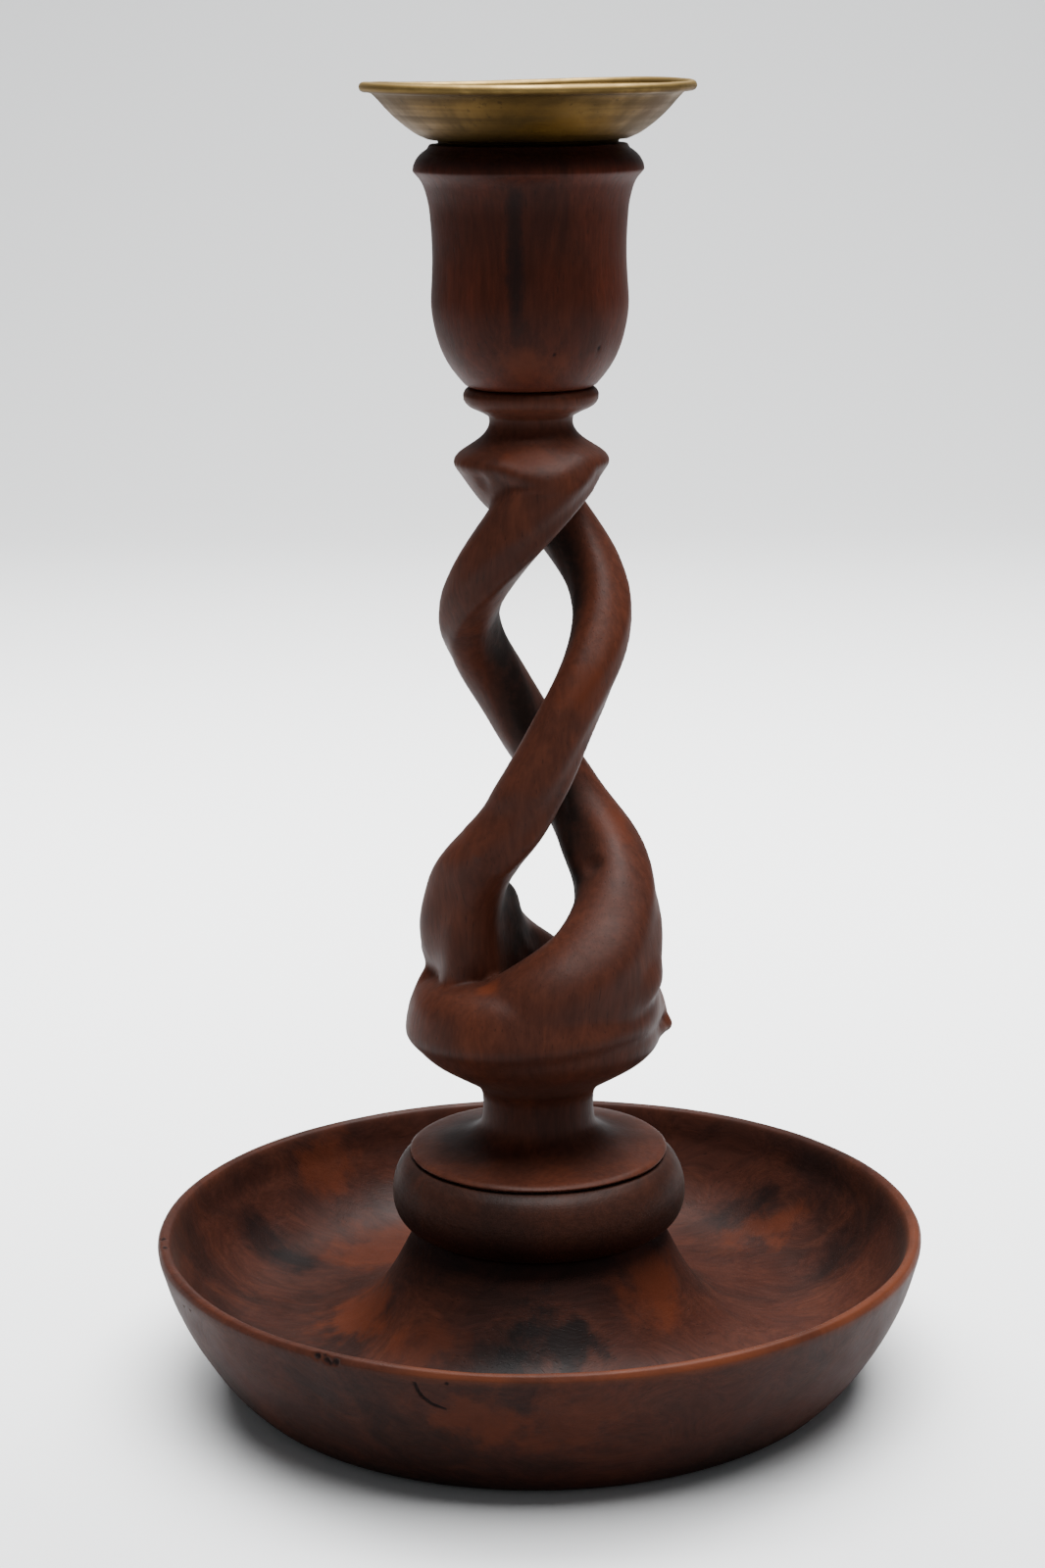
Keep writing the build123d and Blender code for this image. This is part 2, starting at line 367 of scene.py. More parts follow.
pan = finished("pan_spun", pan_shape, "drip_cup", ["drip_pan"])

# Stem: its carved part is a merged copy of the solid, remeshed evenly so that the carving can be
# softened, and its turned ends are spun afresh and joined to it at the two necks
stem_voxel = 0.62 * mm
low_cut, high_cut = 57.6 * mm, 192.9 * mm
joint_gap = 0.5 * mm
end_margin = 2 * mm
left_flank = Vector((-19, -8, 100)) * mm
flank_reach = 16 * mm


def even_copy(node, voxel):
    """Bmesh of a solid's surface, remeshed into even small faces."""
    source = bmesh.new()
    source.from_mesh(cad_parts[node].data)
    bmesh.ops.remove_doubles(source, verts=source.verts[:], dist=merge_distance)
    mesh = bpy.data.meshes.new("even")
    source.to_mesh(mesh)
    source.free()
    even = bpy.data.objects.new("even", mesh)
    bpy.context.scene.collection.objects.link(even)
    remesh = even.modifiers.new("even", "REMESH")
    remesh.mode = "VOXEL"
    remesh.voxel_size = voxel
    evaluated = even.evaluated_get(bpy.context.evaluated_depsgraph_get())
    shape = bmesh.new()
    shape.from_mesh(evaluated.to_mesh())
    evaluated.to_mesh_clear()
    bpy.data.objects.remove(even)
    bpy.data.meshes.remove(mesh)
    return shape


def cut_level(shape, level, keep_above):
    """Cuts a shape at a level and keeps one side, open at the cut."""
    bmesh.ops.bisect_plane(shape, geom=shape.verts[:] + shape.edges[:] + shape.faces[:],
                           dist=merge_distance, plane_co=(0, 0, level), plane_no=(0, 0, 1),
                           clear_inner=keep_above, clear_outer=not keep_above)


def soften(shape, passes, chosen):
    """Smooths the surface where a test of the vertex's place holds."""
    verts = [v for v in shape.verts if chosen(v.co)]
    for _ in range(passes):
        bmesh.ops.smooth_vert(shape, verts=verts, factor=0.5, use_axis_x=True,
                              use_axis_y=True, use_axis_z=True)


def joined(shapes, levels, reach):
    """One bmesh of several, bridged where two open ends face each other at a level."""
    whole = bmesh.new()
    for shape in shapes:
        part = bpy.data.meshes.new("part")
        shape.to_mesh(part)
        shape.free()
        whole.from_mesh(part)
        bpy.data.meshes.remove(part)
    for level in levels:
        ends = [e for e in whole.edges
                if e.is_boundary and abs(e.verts[0].co.z - level) < reach]
        bmesh.ops.bridge_loops(whole, edges=ends)
    bmesh.ops.recalc_face_normals(whole, faces=whole.faces[:])
    return whole


def record_inner(shape):
    """Stores how far each vertex faces the axis, into the hollow of the twist, where the stem's
    material paints shade and roughens the surface.
    """
    layer = shape.verts.layers.float.new("inner")
    shape.normal_update()
    for vert in shape.verts:
        outward = vert.co.xy.normalized()
        vert[layer] = max(0, -vert.normal.xy.dot(outward))


carved = even_copy("twist_stem", stem_voxel)
soften(carved, 1, lambda place: True)
soften(carved, 8, lambda place: low_cut + end_margin < place.z < high_cut - end_margin)
soften(carved, 36, lambda place: (place - left_flank).length < flank_reach)
cut_level(carved, low_cut + joint_gap / 2, True)
cut_level(carved, high_cut - joint_gap / 2, False)
foot_line = as_points([(0, foot_tenon_end), (foot_tenon_radius, foot_tenon_end),
                       (foot_tenon_radius, disc_level)])
foot_line += outline(disc_shares, disc_radius, disc_height, disc_level)
foot = turned(foot_line)
cut_level(foot, low_cut - joint_gap / 2, False)
head_line = outline(collar_shares, collar_radius, collar_height, collar_level)
head_line += as_points([(head_tenon_radius, cup_level),
                        (head_tenon_radius, cup_level + head_tenon_length),
                        (0, cup_level + head_tenon_length)])
head = turned(head_line)
cut_level(head, high_cut + joint_gap / 2, True)
stem_shape = joined([foot, carved, head], [low_cut, high_cut], joint_gap)
waver(stem_shape, size=13 * mm, amount=0.25 * mm, seed=2.3)

# Handwork on the stem: the upper lip dips in front, the right flank runs straight into the
# pointed hook, the left flank is full, and the back root of the lower window stands higher
pull(stem_shape, (3, -15, 185), (11, 8, 5.5), (0, -0.5, -2.1))
pull(stem_shape, (23.5, -10, 82.5), (5, 10, 7), (1.2, -0.2, 0))
pull(stem_shape, (25.3, -1, 72.2), (3.5, 6, 2.4), (1.2, 0, -0.3))
pull(stem_shape, (-20, -5, 96), (8, 14, 13), (-0.7, -0.2, 0))
pull(stem_shape, (-5, 4, 97.5), (7.5, 10, 11), (1.5, 0, 0.8))
press(stem_shape, (-9.8, -10.6, 181.5), 3.2, 0.7, stretch=(0.7, 1, 1.3), darkness=0)
for place, reach in [((-17, -10, 85.5), 5.5), ((11.5, -3, 106), 5.5)]:
    refine(stem_shape, place, reach, 1)
stem_hollows = [((-14.8, -16, 82.9), 0.7, 0.15), ((1.8, -25.4, 77.2), 0.7, 0.15),
                ((11.3, -2.8, 105.8), 3.0, 0.45)]
for centre, radius, depth in stem_hollows:
    press(stem_shape, centre, radius, depth, darkness=0.35)
record_inner(stem_shape)
stem = finished("stem_carved", stem_shape, "holder", ["twist_stem"], 3)


# Materials
def put(tree, kind, sockets=None, **settings):
    """Adds a node with its settings, and with values or links on its input sockets."""
    made = tree.nodes.new(kind)
    for key, value in settings.items():
        setattr(made, key, value)
    for key, value in (sockets or {}).items():
        if isinstance(value, bpy.types.NodeSocket):
            tree.links.new(value, made.inputs[key])
        else:
            made.inputs[key].default_value = value
    return made


def math_of(tree, operation, *values):
    """Sum, product or another plain operation on values that vary."""
    return put(tree, "ShaderNodeMath", dict(enumerate(values)), operation=operation).outputs[0]


def product(tree, *values):
    """All the values multiplied."""
    result = values[0]
    for value in values[1:]:
        result = math_of(tree, "MULTIPLY", result, value)
    return result


def mixed(tree, share, low, high, blend="MIX"):
    """Colour between two, by a share from 0 to 1."""
    made = put(tree, "ShaderNodeMix", {0: share, 6: low, 7: high}, data_type="RGBA",
               blend_type=blend)
    return made.outputs[2]


def ranged(tree, value, low, high, to_low=0.0, to_high=1.0):
    """Value carried smoothly from one range to another."""
    sockets = {"Value": value, "From Min": low, "From Max": high, "To Min": to_low,
               "To Max": to_high}
    return put(tree, "ShaderNodeMapRange", sockets, interpolation_type="SMOOTHSTEP").outputs[0]


def noise_of(tree, place, scale, detail=3.0, roughness=0.6, distortion=0.0):
    """Outputs of a soft noise."""
    return put(tree, "ShaderNodeTexNoise", {"Vector": place, "Scale": scale, "Detail": detail,
                                            "Roughness": roughness,
                                            "Distortion": distortion}).outputs


def vector_of(tree, operation, *values):
    """Outputs of an operation on vectors."""
    return put(tree, "ShaderNodeVectorMath", dict(enumerate(values)),
               operation=operation).outputs


def new_group(name, inputs, outputs):
    """Empty shader group with named sockets, and its inner ends."""
    tree = bpy.data.node_groups.new(name, "ShaderNodeTree")
    kinds = {"Float": "NodeSocketFloat", "Vector": "NodeSocketVector",
             "Color": "NodeSocketColor"}
    for label, kind, value in inputs:
        socket = tree.interface.new_socket(label, in_out="INPUT", socket_type=kinds[kind])
        socket.default_value = value
    for label, kind in outputs:
        tree.interface.new_socket(label, in_out="OUTPUT", socket_type=kinds[kind])
    enter = tree.nodes.new("NodeGroupInput").outputs
    leave = tree.nodes.new("NodeGroupOutput").inputs
    return tree, enter, leave


pore_tone = (0.008, 0.004, 0.003, 1)
mark_tone = (0.006, 0.003, 0.003, 1)


def make_figure_group():
    """Wood figure: swirled patches of three tones, crossed by fibres and pores."""
    tree, enter, leave = new_group(
        "wood_figure",
        [("Vector", "Vector", (0, 0, 0)), ("Fibre", "Vector", (0, 0, 0)),
         ("Dark", "Color", (0, 0, 0, 1)), ("Middle", "Color", (0, 0, 0, 1)),
         ("Warm", "Color", (0, 0, 0, 1)), ("Figure", "Float", 40.0), ("Swirl", "Float", 1.0),
         ("Grain", "Float", 600.0)],
        [("Color", "Color"), ("Height", "Float")],
    )
    bend = noise_of(tree, enter["Vector"], enter["Figure"], 2.0)["Color"]
    reach = math_of(tree, "DIVIDE", enter["Swirl"], enter["Figure"])
    centred = vector_of(tree, "SUBTRACT", bend, (0.5, 0.5, 0.5))[0]
    shift = put(tree, "ShaderNodeVectorMath", {0: centred, "Scale": reach},
                operation="SCALE").outputs[0]
    swirled = vector_of(tree, "ADD", enter["Vector"], shift)[0]
    fibres = vector_of(tree, "ADD", enter["Fibre"], shift)[0]
    patches = noise_of(tree, swirled, enter["Figure"], 5.0, 0.58)["Fac"]
    flames = noise_of(tree, swirled, math_of(tree, "MULTIPLY", enter["Figure"], 2.3), 4.0, 0.6,
                      0.8)["Fac"]
    streaks = noise_of(tree, fibres, enter["Grain"], 4.0, 0.62)["Fac"]
    threads = noise_of(tree, fibres, math_of(tree, "MULTIPLY", enter["Grain"], 2.6), 2.0)["Fac"]
    pores = put(tree, "ShaderNodeTexVoronoi",
                {"Vector": fibres, "Scale": math_of(tree, "MULTIPLY", enter["Grain"], 1.5)},
                feature="F1").outputs["Distance"]
    body = mixed(tree, ranged(tree, patches, 0.38, 0.60), enter["Dark"], enter["Middle"])
    body = mixed(tree, product(tree, ranged(tree, flames, 0.44, 0.72), 0.55), body,
                 enter["Warm"])
    shade = ranged(tree, streaks, 0.28, 0.72, 0.80, 1.18)
    body = mixed(tree, 1.0, body, shade, "MULTIPLY")
    body = mixed(tree, ranged(tree, threads, 0.35, 0.65, 0.22, 0.0), body, enter["Dark"])
    dots = ranged(tree, pores, 0.05, 0.22, 0.45, 0.0)
    tree.links.new(mixed(tree, dots, body, pore_tone), leave["Color"])
    height = math_of(tree, "ADD", streaks, product(tree, threads, 0.5))
    tree.links.new(math_of(tree, "SUBTRACT", height, dots), leave["Height"])
    return tree


def make_spot_group():
    """Ragged spot round a point: 1 inside, 0 outside."""
    tree, enter, leave = new_group(
        "ragged_spot",
        [("Vector", "Vector", (0, 0, 0)), ("Centre", "Vector", (0, 0, 0)),
         ("Reach", "Vector", (1, 1, 1)), ("Ragged", "Float", 0.5), ("Scale", "Float", 200.0)],
        [("Mask", "Float")],
    )
    away = vector_of(tree, "SUBTRACT", enter["Vector"], enter["Centre"])[0]
    shares = vector_of(tree, "DIVIDE", away, enter["Reach"])[0]
    far = vector_of(tree, "LENGTH", shares)["Value"]
    ragged = noise_of(tree, enter["Vector"], enter["Scale"], 5.0)["Fac"]
    shift = product(tree, math_of(tree, "SUBTRACT", ragged, 0.5), enter["Ragged"], 3.0)
    tree.links.new(ranged(tree, math_of(tree, "ADD", far, shift), 0.30, 1.05, 1.0, 0.0),
                   leave["Mask"])
    return tree


def make_turning_group():
    """Fine rings that a turning tool and sanding leave, by radius and level."""
    tree, enter, leave = new_group(
        "turning_rings",
        [("Vector", "Vector", (0, 0, 0)), ("Pitch", "Float", 900.0)],
        [("Height", "Float"), ("Radius", "Float"), ("Level", "Float")],
    )
    parts = put(tree, "ShaderNodeSeparateXYZ", {0: enter["Vector"]}).outputs
    flat = put(tree, "ShaderNodeCombineXYZ", {0: parts[0], 1: parts[1]}).outputs[0]
    radius = vector_of(tree, "LENGTH", flat)["Value"]
    slow = put(tree, "ShaderNodeVectorMath", {0: flat, "Scale": 0.03},
               operation="SCALE").outputs[0]
    along = put(tree, "ShaderNodeCombineXYZ", {0: radius, 2: parts[2]}).outputs[0]
    place = vector_of(tree, "ADD", along, slow)[0]
    tree.links.new(noise_of(tree, place, enter["Pitch"], 3.0)["Fac"], leave["Height"])
    tree.links.new(radius, leave["Radius"])
    tree.links.new(parts[2], leave["Level"])
    return tree


def make_wear_and_light_group():
    """Wear and painted light on a surface: convex edges are lighter, partly from wear and partly
    as a painted highlight; hollows are darkened as painted shade; marks are dark.
    """
    tree, enter, leave = new_group(
        "wear_and_painted_light",
        [("Vector", "Vector", (0, 0, 0)), ("Color", "Color", (0, 0, 0, 1)),
         ("Worn And Lit", "Color", (0, 0, 0, 1)), ("Hollow Shade", "Color", (0, 0, 0, 1)),
         ("Amount", "Float", 0.5), ("Edge", "Float", 0.0), ("Mark", "Float", 0.0)],
        [("Color", "Color"), ("Hollow Shade", "Float")],
    )
    patchy = noise_of(tree, enter["Vector"], 180.0, 4.0)["Fac"]
    # Lighter convex edges: partly wear, partly painted highlight
    worn_and_lit = product(tree, ranged(tree, enter["Edge"], 0.05, 0.16),
                   ranged(tree, patchy, 0.35, 0.60, 0.25, 1.0), enter["Amount"])
    color = mixed(tree, worn_and_lit, enter["Color"], enter["Worn And Lit"])
    # Painted shade in the hollows, from the stored edge value; the Hollow Shade output also
    # carries the marks
    hollow_shade = ranged(tree, enter["Edge"], -0.14, -0.03, 0.8, 0.0)
    color = mixed(tree, hollow_shade, color, enter["Hollow Shade"])
    mark = ranged(tree, enter["Mark"], 0.10, 0.75, 0.0, 0.85)
    tree.links.new(mixed(tree, mark, color, mark_tone), leave["Color"])
    tree.links.new(math_of(tree, "MAXIMUM", hollow_shade, mark), leave["Hollow Shade"])
    return tree


figure_group = make_figure_group()
spot_group = make_spot_group()
turning_group = make_turning_group()
wear_and_light_group = make_wear_and_light_group()


def use_group(tree, group, sockets):
    """Outputs of a shader group placed in a material."""
    return put(tree, "ShaderNodeGroup", sockets, node_tree=group).outputs


def new_material(name):
    """Material with an empty tree but its Principled BSDF, and the object's own coordinates."""
    material = bpy.data.materials.new(name)
    material.use_nodes = True
    tree = material.node_tree
    shader = tree.nodes["Principled BSDF"]
    place = put(tree, "ShaderNodeTexCoord").outputs["Object"]
    return material, tree, shader, place


def stretched(tree, place, scale):
    """Place scaled, so that a pattern is drawn out where the scale is small."""
    return put(tree, "ShaderNodeMapping", {"Vector": place, "Scale": scale}).outputs[0]


def attribute(tree, name):
    """What a vertex layer of the mesh says."""
    return put(tree, "ShaderNodeAttribute", attribute_name=name).outputs["Fac"]


def painted(tree, place, color, spots, scale):
    """Colour with ragged spots painted over: (centre, reach, colour, strength, raggedness)."""
    for centre, reach, tint, strength, ragged in spots:
        mask = use_group(tree, spot_group, {
            "Vector": place, "Centre": [c * mm for c in centre], "Reach": [r * mm for r in reach],
            "Ragged": ragged, "Scale": scale})["Mask"]
        color = mixed(tree, math_of(tree, "MULTIPLY", mask, strength), color, tint)
    return color


# Near-black tone of the soot spots, and of the painted shade under the drip pan
soot_and_shade = (0.007, 0.005, 0.005, 1)
# Warm orange tone of the burr's patches, and of a painted highlight on the stem's collar
warm_patch_and_highlight = (0.135, 0.029, 0.0095, 1)
# Warm colour of the painted highlight on the dish's rim
rim_highlight_tone = (0.155, 0.040, 0.015, 1)
# Dark tone of the painted shade on the strands' faces towards the axis
inner_shade_tone = (0.014, 0.007, 0.005, 1)


def wood(name, tones, patch_scale, fibre_scale, figure, swirl, grain, roughness, spots, rings,
         worn_and_lit, worn_and_lit_amount, extra=None):
    """Waxed wood. Tones are dark, middle and warm; rings is the strength of turning marks;
    extra is a function that paints over."""
    material, tree, shader, place = new_material(name)
    dark, middle, warm = tones
    look = use_group(tree, figure_group, {
        "Vector": stretched(tree, place, patch_scale),
        "Fibre": stretched(tree, place, fibre_scale), "Dark": dark, "Middle": middle,
        "Warm": warm, "Figure": figure, "Swirl": swirl, "Grain": grain})
    color = painted(tree, place, look["Color"], spots, 170.0)
    ring_look = use_group(tree, turning_group, {"Vector": place, "Pitch": 1400.0})
    height = math_of(tree, "ADD", look["Height"], product(tree, ring_look["Height"], rings))
    if extra:
        color, height = extra(tree, place, ring_look, color, height)
    # Wear, painted edge highlight and painted shade in hollows, laid over the colour
    wear_and_light = use_group(tree, wear_and_light_group, {
        "Vector": place, "Color": color, "Worn And Lit": worn_and_lit, "Hollow Shade": dark, "Amount": worn_and_lit_amount,
        "Edge": attribute(tree, "edge"), "Mark": attribute(tree, "mark")})
    tree.links.new(wear_and_light["Color"], shader.inputs["Base Color"])
    smears = noise_of(tree, place, 60.0, 5.0)["Fac"]
    rough = ranged(tree, smears, 0.3, 0.7, roughness - 0.07, roughness + 0.08)
    dull = math_of(tree, "MAXIMUM", wear_and_light["Hollow Shade"], attribute(tree, "inner"))
    rough = math_of(tree, "ADD", rough, product(tree, dull, 0.28))
    tree.links.new(rough, shader.inputs["Roughness"])
    bump = put(tree, "ShaderNodeBump", {"Height": height, "Strength": 0.45,
                                        "Distance": 0.1 * mm})
    tree.links.new(bump.outputs[0], shader.inputs["Normal"])
    shader.inputs["IOR"].default_value = 1.5
    shader.inputs["Specular IOR Level"].default_value = 0.17
    shader.inputs["Sheen Weight"].default_value = 0.035
    shader.inputs["Sheen Roughness"].default_value = 0.35
    shader.inputs["Sheen Tint"].default_value = (1, 0.78, 0.68, 1)
    return material


# Where the looks change with the radius, the level or the side: (from, to)
rim_band = (71.2 * mm, 74.5 * mm)
rim_levels = (27.5 * mm, 30 * mm)
rim_facing = (20 * mm, 75 * mm)
flange_levels = (240.4 * mm, 242.5 * mm)
bead_levels = (254.8 * mm, 255.6 * mm)

# Spots and warm patches in millimetres: (centre, reach, colour, strength, raggedness)
dish_spots = [
    ((-59, 32.7, 15), (9, 8, 8), soot_and_shade, 0.75, 0.5),
    ((-51.6, 30.5, 10.2), (7, 6.5, 6.5), soot_and_shade, 0.85, 0.5),
    ((-35, 57, 14), (8, 8, 8), soot_and_shade, 0.4, 0.6),
    ((45, 48, 13.5), (9, 9, 9), soot_and_shade, 0.6, 0.7),
    ((51, 46, 16), (6, 6, 6), soot_and_shade, 0.55, 0.7),
    ((62, 20, 13), (9, 9, 9), soot_and_shade, 0.5, 0.7),
    ((60, 41, 24), (12, 12, 12), soot_and_shade, 0.35, 0.7),
    ((3, -31, 18), (13, 9, 9), soot_and_shade, 0.90, 0.9),
    ((-10, -32, 15), (7, 6, 6), soot_and_shade, 0.6, 0.8),
    ((-35.6, -2, 12.9), (14, 16, 9), warm_patch_and_highlight, 0.55, 0.7),
    ((-33, 40, 9.4), (16, 16, 8), warm_patch_and_highlight, 0.35, 0.8),
    ((-46, 55, 23.5), (10, 9, 9), warm_patch_and_highlight, 0.45, 0.7),
    ((22, -17, 24), (11, 11, 12), warm_patch_and_highlight, 0.55, 0.6),
    ((51, 40, 13), (13, 7, 7), warm_patch_and_highlight, 0.40, 0.9),
    ((-12, -74, 21), (15, 8, 8), warm_patch_and_highlight, 0.45, 0.9),
    ((5, -75, 20), (16, 8, 12), warm_patch_and_highlight, 0.30, 0.9),
    ((-23, -26, 13), (13, 9, 7), warm_patch_and_highlight, 0.30, 0.8),
]


def painted_rim_highlight(tree, place, ring_look, color, height):
    """Painted highlight on the rim in a warm colour, strongest in front and at the viewer's
    right.
    """
    rim = product(tree, ranged(tree, ring_look["Radius"], *rim_band),
                  ranged(tree, ring_look["Level"], *rim_levels))
    parts = put(tree, "ShaderNodeSeparateXYZ", {0: place}).outputs
    facing = math_of(tree, "SUBTRACT", product(tree, parts[0], 0.75), parts[1])
    patch = noise_of(tree, place, 55.0)["Fac"]
    share = product(tree, rim, ranged(tree, patch, 0.32, 0.62, 0.35, 0.9),
                    ranged(tree, facing, *rim_facing, 0.12, 0.85))
    return mixed(tree, share, color, rim_highlight_tone), height


def shaded_flange(tree, place, ring_look, color, height):
    """Painted shade, near black, on the cup's flange close under the pan."""
    share = ranged(tree, ring_look["Level"], *flange_levels, 0.0, 0.45)
    return mixed(tree, share, color, soot_and_shade), height


def rough_shaded_hollows(tree, place, ring_look, color, height):
    """The strands' faces towards the axis get painted shade and show rough carving."""
    inner = ranged(tree, attribute(tree, "inner"), 0.15, 0.75)
    ragged = noise_of(tree, place, 240.0, 4.0)["Fac"]
    share = product(tree, inner, ranged(tree, ragged, 0.30, 0.62, 0.45, 0.95))
    cuts = noise_of(tree, stretched(tree, place, (1, 1, 0.4)), 900.0, 4.0)["Fac"]
    return (mixed(tree, share, color, inner_shade_tone),
            math_of(tree, "ADD", height, product(tree, cuts, inner, 2.5)))


burr = wood(
    "burr_wood",
    tones=[(0.027, 0.0105, 0.0078, 1), (0.059, 0.0178, 0.0112, 1), (0.085, 0.0250, 0.0132, 1)],
    patch_scale=(0.7, 1.0, 1.0), fibre_scale=(0.30, 1.0, 1.0), figure=34.0, swirl=1.1,
    grain=700.0, roughness=0.46, spots=dish_spots, rings=0.25,
    worn_and_lit=(0.09, 0.030, 0.017, 1), worn_and_lit_amount=0.2, extra=painted_rim_highlight,
)
knop_wood = wood(
    "knop_wood",
    tones=[(0.025, 0.0100, 0.0070, 1), (0.043, 0.0145, 0.0088, 1), (0.060, 0.0185, 0.0100, 1)],
    patch_scale=(1.0, 1.0, 0.5), fibre_scale=(1.0, 0.3, 1.0), figure=40.0, swirl=0.6,
    grain=900.0, roughness=0.50, spots=[], rings=0.7,
    worn_and_lit=(0.12, 0.05, 0.032, 1), worn_and_lit_amount=0.4,
)
cup_spots = [
    ((-2.8, -19, 224), (2.4, 5, 22), soot_and_shade, 0.70, 0.45),
    ((-1, -17, 205), (9, 9, 6), warm_patch_and_highlight, 0.55, 0.6),
]
cup_wood = wood(
    "cup_wood",
    tones=[(0.042, 0.0100, 0.0050, 1), (0.080, 0.0160, 0.0070, 1), (0.110, 0.0215, 0.0085, 1)],
    patch_scale=(1.0, 1.0, 0.30), fibre_scale=(1.0, 1.0, 0.14), figure=38.0, swirl=0.45,
    grain=900.0, roughness=0.46, spots=cup_spots, rings=0.3,
    worn_and_lit=(0.14, 0.055, 0.035, 1), worn_and_lit_amount=0.3, extra=shaded_flange,
)
stem_spots = [
    ((-9, -16, 84), (4, 4, 3), warm_patch_and_highlight, 0.7, 0.6),
    # Painted highlight: the warm spot on the front of the collar's upper slope
    ((0, -14, 187.5), (9, 6, 3), warm_patch_and_highlight, 0.55, 0.6),
    ((10.7, -14.5, 142.6), (6, 6, 7), warm_patch_and_highlight, 0.40, 0.6),
    ((16.3, 3.7, 112.6), (5, 6, 5), warm_patch_and_highlight, 0.45, 0.6),
]
stem_wood = wood(
    "stem_wood",
    tones=[(0.056, 0.0170, 0.0100, 1), (0.084, 0.0230, 0.0118, 1), (0.110, 0.0290, 0.0130, 1)],
    patch_scale=(1.0, 1.0, 0.40), fibre_scale=(1.0, 1.0, 0.16), figure=42.0, swirl=0.5,
    grain=850.0, roughness=0.48, spots=stem_spots, rings=0.15,
    worn_and_lit=(0.17, 0.07, 0.045, 1), worn_and_lit_amount=0.5, extra=rough_shaded_hollows,
)
pan_spots = [
    ((8, -22, 248), (12, 9, 4), (0.19, 0.10, 0.016, 1), 0.6, 0.5),
    ((24, -14, 252), (7, 9, 4), (0.09, 0.05, 0.022, 1), 0.4, 0.5),
]


def make_brass():
    """Aged brass: olive-brown tarnish clouds and drawn rings, brighter on the bead."""
    material, tree, shader, place = new_material("brass")
    ring_look = use_group(tree, turning_group, {"Vector": place, "Pitch": 1300.0})
    broad = use_group(tree, turning_group, {"Vector": place, "Pitch": 330.0})["Height"]
    clouds = noise_of(tree, place, 85.0, 5.0, 0.6, 0.4)["Fac"]
    specks = noise_of(tree, place, 700.0, 3.0)["Fac"]
    tarnish = math_of(tree, "ADD", product(tree, clouds, 0.55), product(tree, broad, 0.45))
    base = mixed(tree, ranged(tree, tarnish, 0.40, 0.60), (0.150, 0.088, 0.024, 1),
                 (0.088, 0.053, 0.017, 1))
    base = mixed(tree, ranged(tree, specks, 0.60, 0.72, 0.0, 0.5), base,
                 (0.035, 0.022, 0.010, 1))
    base = painted(tree, place, base, pan_spots, 150.0)
    bead_share = ranged(tree, ring_look["Level"], *bead_levels)
    bright = product(tree, bead_share, ranged(tree, clouds, 0.35, 0.60, 0.9, 0.45))
    base = mixed(tree, bright, base, (0.62, 0.42, 0.15, 1))
    tree.links.new(base, shader.inputs["Base Color"])
    shader.inputs["Metallic"].default_value = 1.0
    dull = ranged(tree, tarnish, 0.38, 0.62, 0.42, 0.60)
    tree.links.new(math_of(tree, "SUBTRACT", dull, product(tree, bright, 0.10)),
                   shader.inputs["Roughness"])
    height = math_of(tree, "ADD", ring_look["Height"], product(tree, specks, 0.6))
    bump = put(tree, "ShaderNodeBump", {"Height": height, "Strength": 0.30,
                                        "Distance": 0.1 * mm})
    tree.links.new(bump.outputs[0], shader.inputs["Normal"])
    return material


brass = make_brass()
for piece, material in ((dish, burr), (knop, knop_wood), (cup, cup_wood), (stem, stem_wood),
                        (tube, brass), (pan, brass)):
    piece.data.materials.append(material)

# Stage: pale floor that sweeps up behind
floor_front = -4.0
floor_back = 1.1
floor_half = 4.0
sweep_radius = 0.6
sweep_top = 3.2
sweep_steps = 12
sweep = bmesh.new()
line = [(floor_front, 0.0), (floor_back, 0.0)]
for step in range(1, sweep_steps + 1):
    turn = math.pi / 2 * step / sweep_steps
    line.append((floor_back + sweep_radius * math.sin(turn), sweep_radius * (1 - math.cos(turn))))
line.append((floor_back + sweep_radius, sweep_top))
verts = [sweep.verts.new((-floor_half, y, z)) for y, z in line]
edges = [sweep.edges.new(pair) for pair in zip(verts, verts[1:])]
made = bmesh.ops.extrude_edge_only(sweep, edges=edges)
moved = [e for e in made["geom"] if isinstance(e, bmesh.types.BMVert)]
bmesh.ops.translate(sweep, verts=moved, vec=(2 * floor_half, 0, 0))
bmesh.ops.recalc_face_normals(sweep, faces=sweep.faces[:])
for face in sweep.faces:
    face.smooth = True
stage_mesh = bpy.data.meshes.new("floor_sweep")
sweep.to_mesh(stage_mesh)
sweep.free()
floor = bpy.data.objects.new("floor_sweep", stage_mesh)
bpy.context.scene.collection.objects.link(floor)

# The camera sees the paper pale, but it throws less light back on the holder, as if screens
# kept most of it away
paper, paper_tree, paper_shader = new_material("pale_paper")[:3]
paper_shader.inputs["Base Color"].default_value = (0.80, 0.81, 0.815, 1)
paper_shader.inputs["Roughness"].default_value = 0.9
paper_shader.inputs["Specular IOR Level"].default_value = 0.2
thrown_back = put(paper_tree, "ShaderNodeBsdfDiffuse", {"Color": (0.34, 0.34, 0.345, 1)})
paper_mix = put(paper_tree, "ShaderNodeMixShader", {
    0: put(paper_tree, "ShaderNodeLightPath").outputs["Is Camera Ray"],
    1: thrown_back.outputs[0], 2: paper_shader.outputs[0]})
paper_tree.links.new(paper_mix.outputs[0], paper_tree.nodes["Material Output"].inputs["Surface"])
floor.data.materials.append(paper)


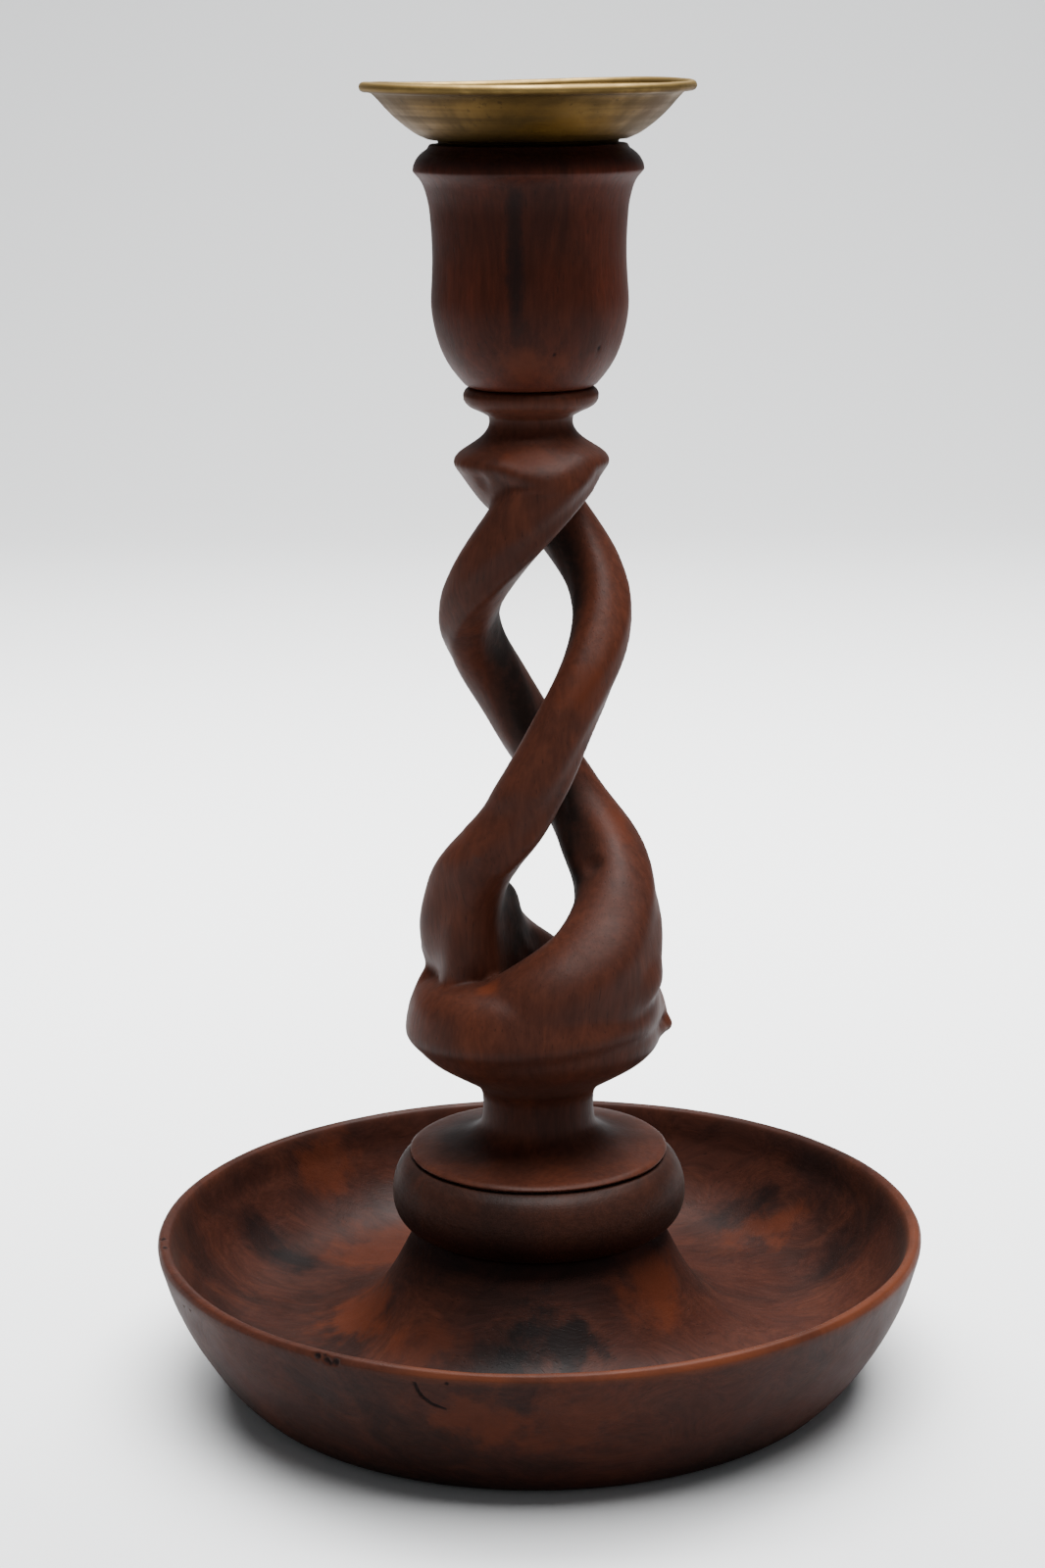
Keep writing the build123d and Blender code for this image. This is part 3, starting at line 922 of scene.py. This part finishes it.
def soft_light(name, place, target, size, power):
    """Rectangular soft light at a place, turned to its target."""
    data = bpy.data.lights.new(name, "AREA")
    data.shape = "RECTANGLE"
    data.size, data.size_y = size
    data.energy = power
    light = bpy.data.objects.new(name, data)
    bpy.context.scene.collection.objects.link(light)
    light.location = place
    light.rotation_euler = (Vector(target) - Vector(place)).to_track_quat("-Z", "Y").to_euler()
    return light


# Two lights brighten the floor and the sweep alone, as screened lamps do in a studio, and the
# ceiling light reaches everything
only_stage = bpy.data.collections.new("only_stage")
only_stage.objects.link(floor)
floor_light = soft_light("floor_light", place=(0.0, 0.38, 0.70), target=(0, 0.46, 0),
                         size=(1.0, 0.5), power=22.0)
back_light = soft_light("back_light", place=(0.0, 1.0, 1.6), target=(0, 1.6, 0.5),
                        size=(1.6, 0.6), power=5.0)
for light in (floor_light, back_light):
    light.light_linking.receiver_collection = only_stage
soft_light("ceiling_light", place=(0.12, 0.03, 1.25), target=(0, 0.03, 0), size=(1.3, 1.0),
           power=42.0)

# Room: dim where it lights the holder, pale where the camera sees past the sweep
world = bpy.data.worlds.new("room")
world.use_nodes = True
room = world.node_tree
camera_ray = put(room, "ShaderNodeLightPath").outputs["Is Camera Ray"]
room_color = mixed(room, camera_ray, (0.17, 0.175, 0.18, 1), (0.62, 0.64, 0.65, 1))
room.links.new(room_color, room.nodes["Background"].inputs["Color"])
bpy.context.scene.world = world

# Camera
camera_data = bpy.data.cameras.new("camera")
camera_data.lens = 73.7
camera_data.sensor_width = 36.0
camera_data.clip_start, camera_data.clip_end = 0.05, 20
camera = bpy.data.objects.new("camera", camera_data)
bpy.context.scene.collection.objects.link(camera)
camera_place = Vector((-2.4, -613.3, 267.0)) * mm
camera_pitch, camera_roll = math.radians(90 - 13.33), math.radians(-0.62)
camera.matrix_world = (
    Matrix.Translation(camera_place)
    @ Euler((camera_pitch, 0, 0)).to_matrix().to_4x4()
    @ Matrix.Rotation(camera_roll, 4, "Z")
)
bpy.context.scene.camera = camera
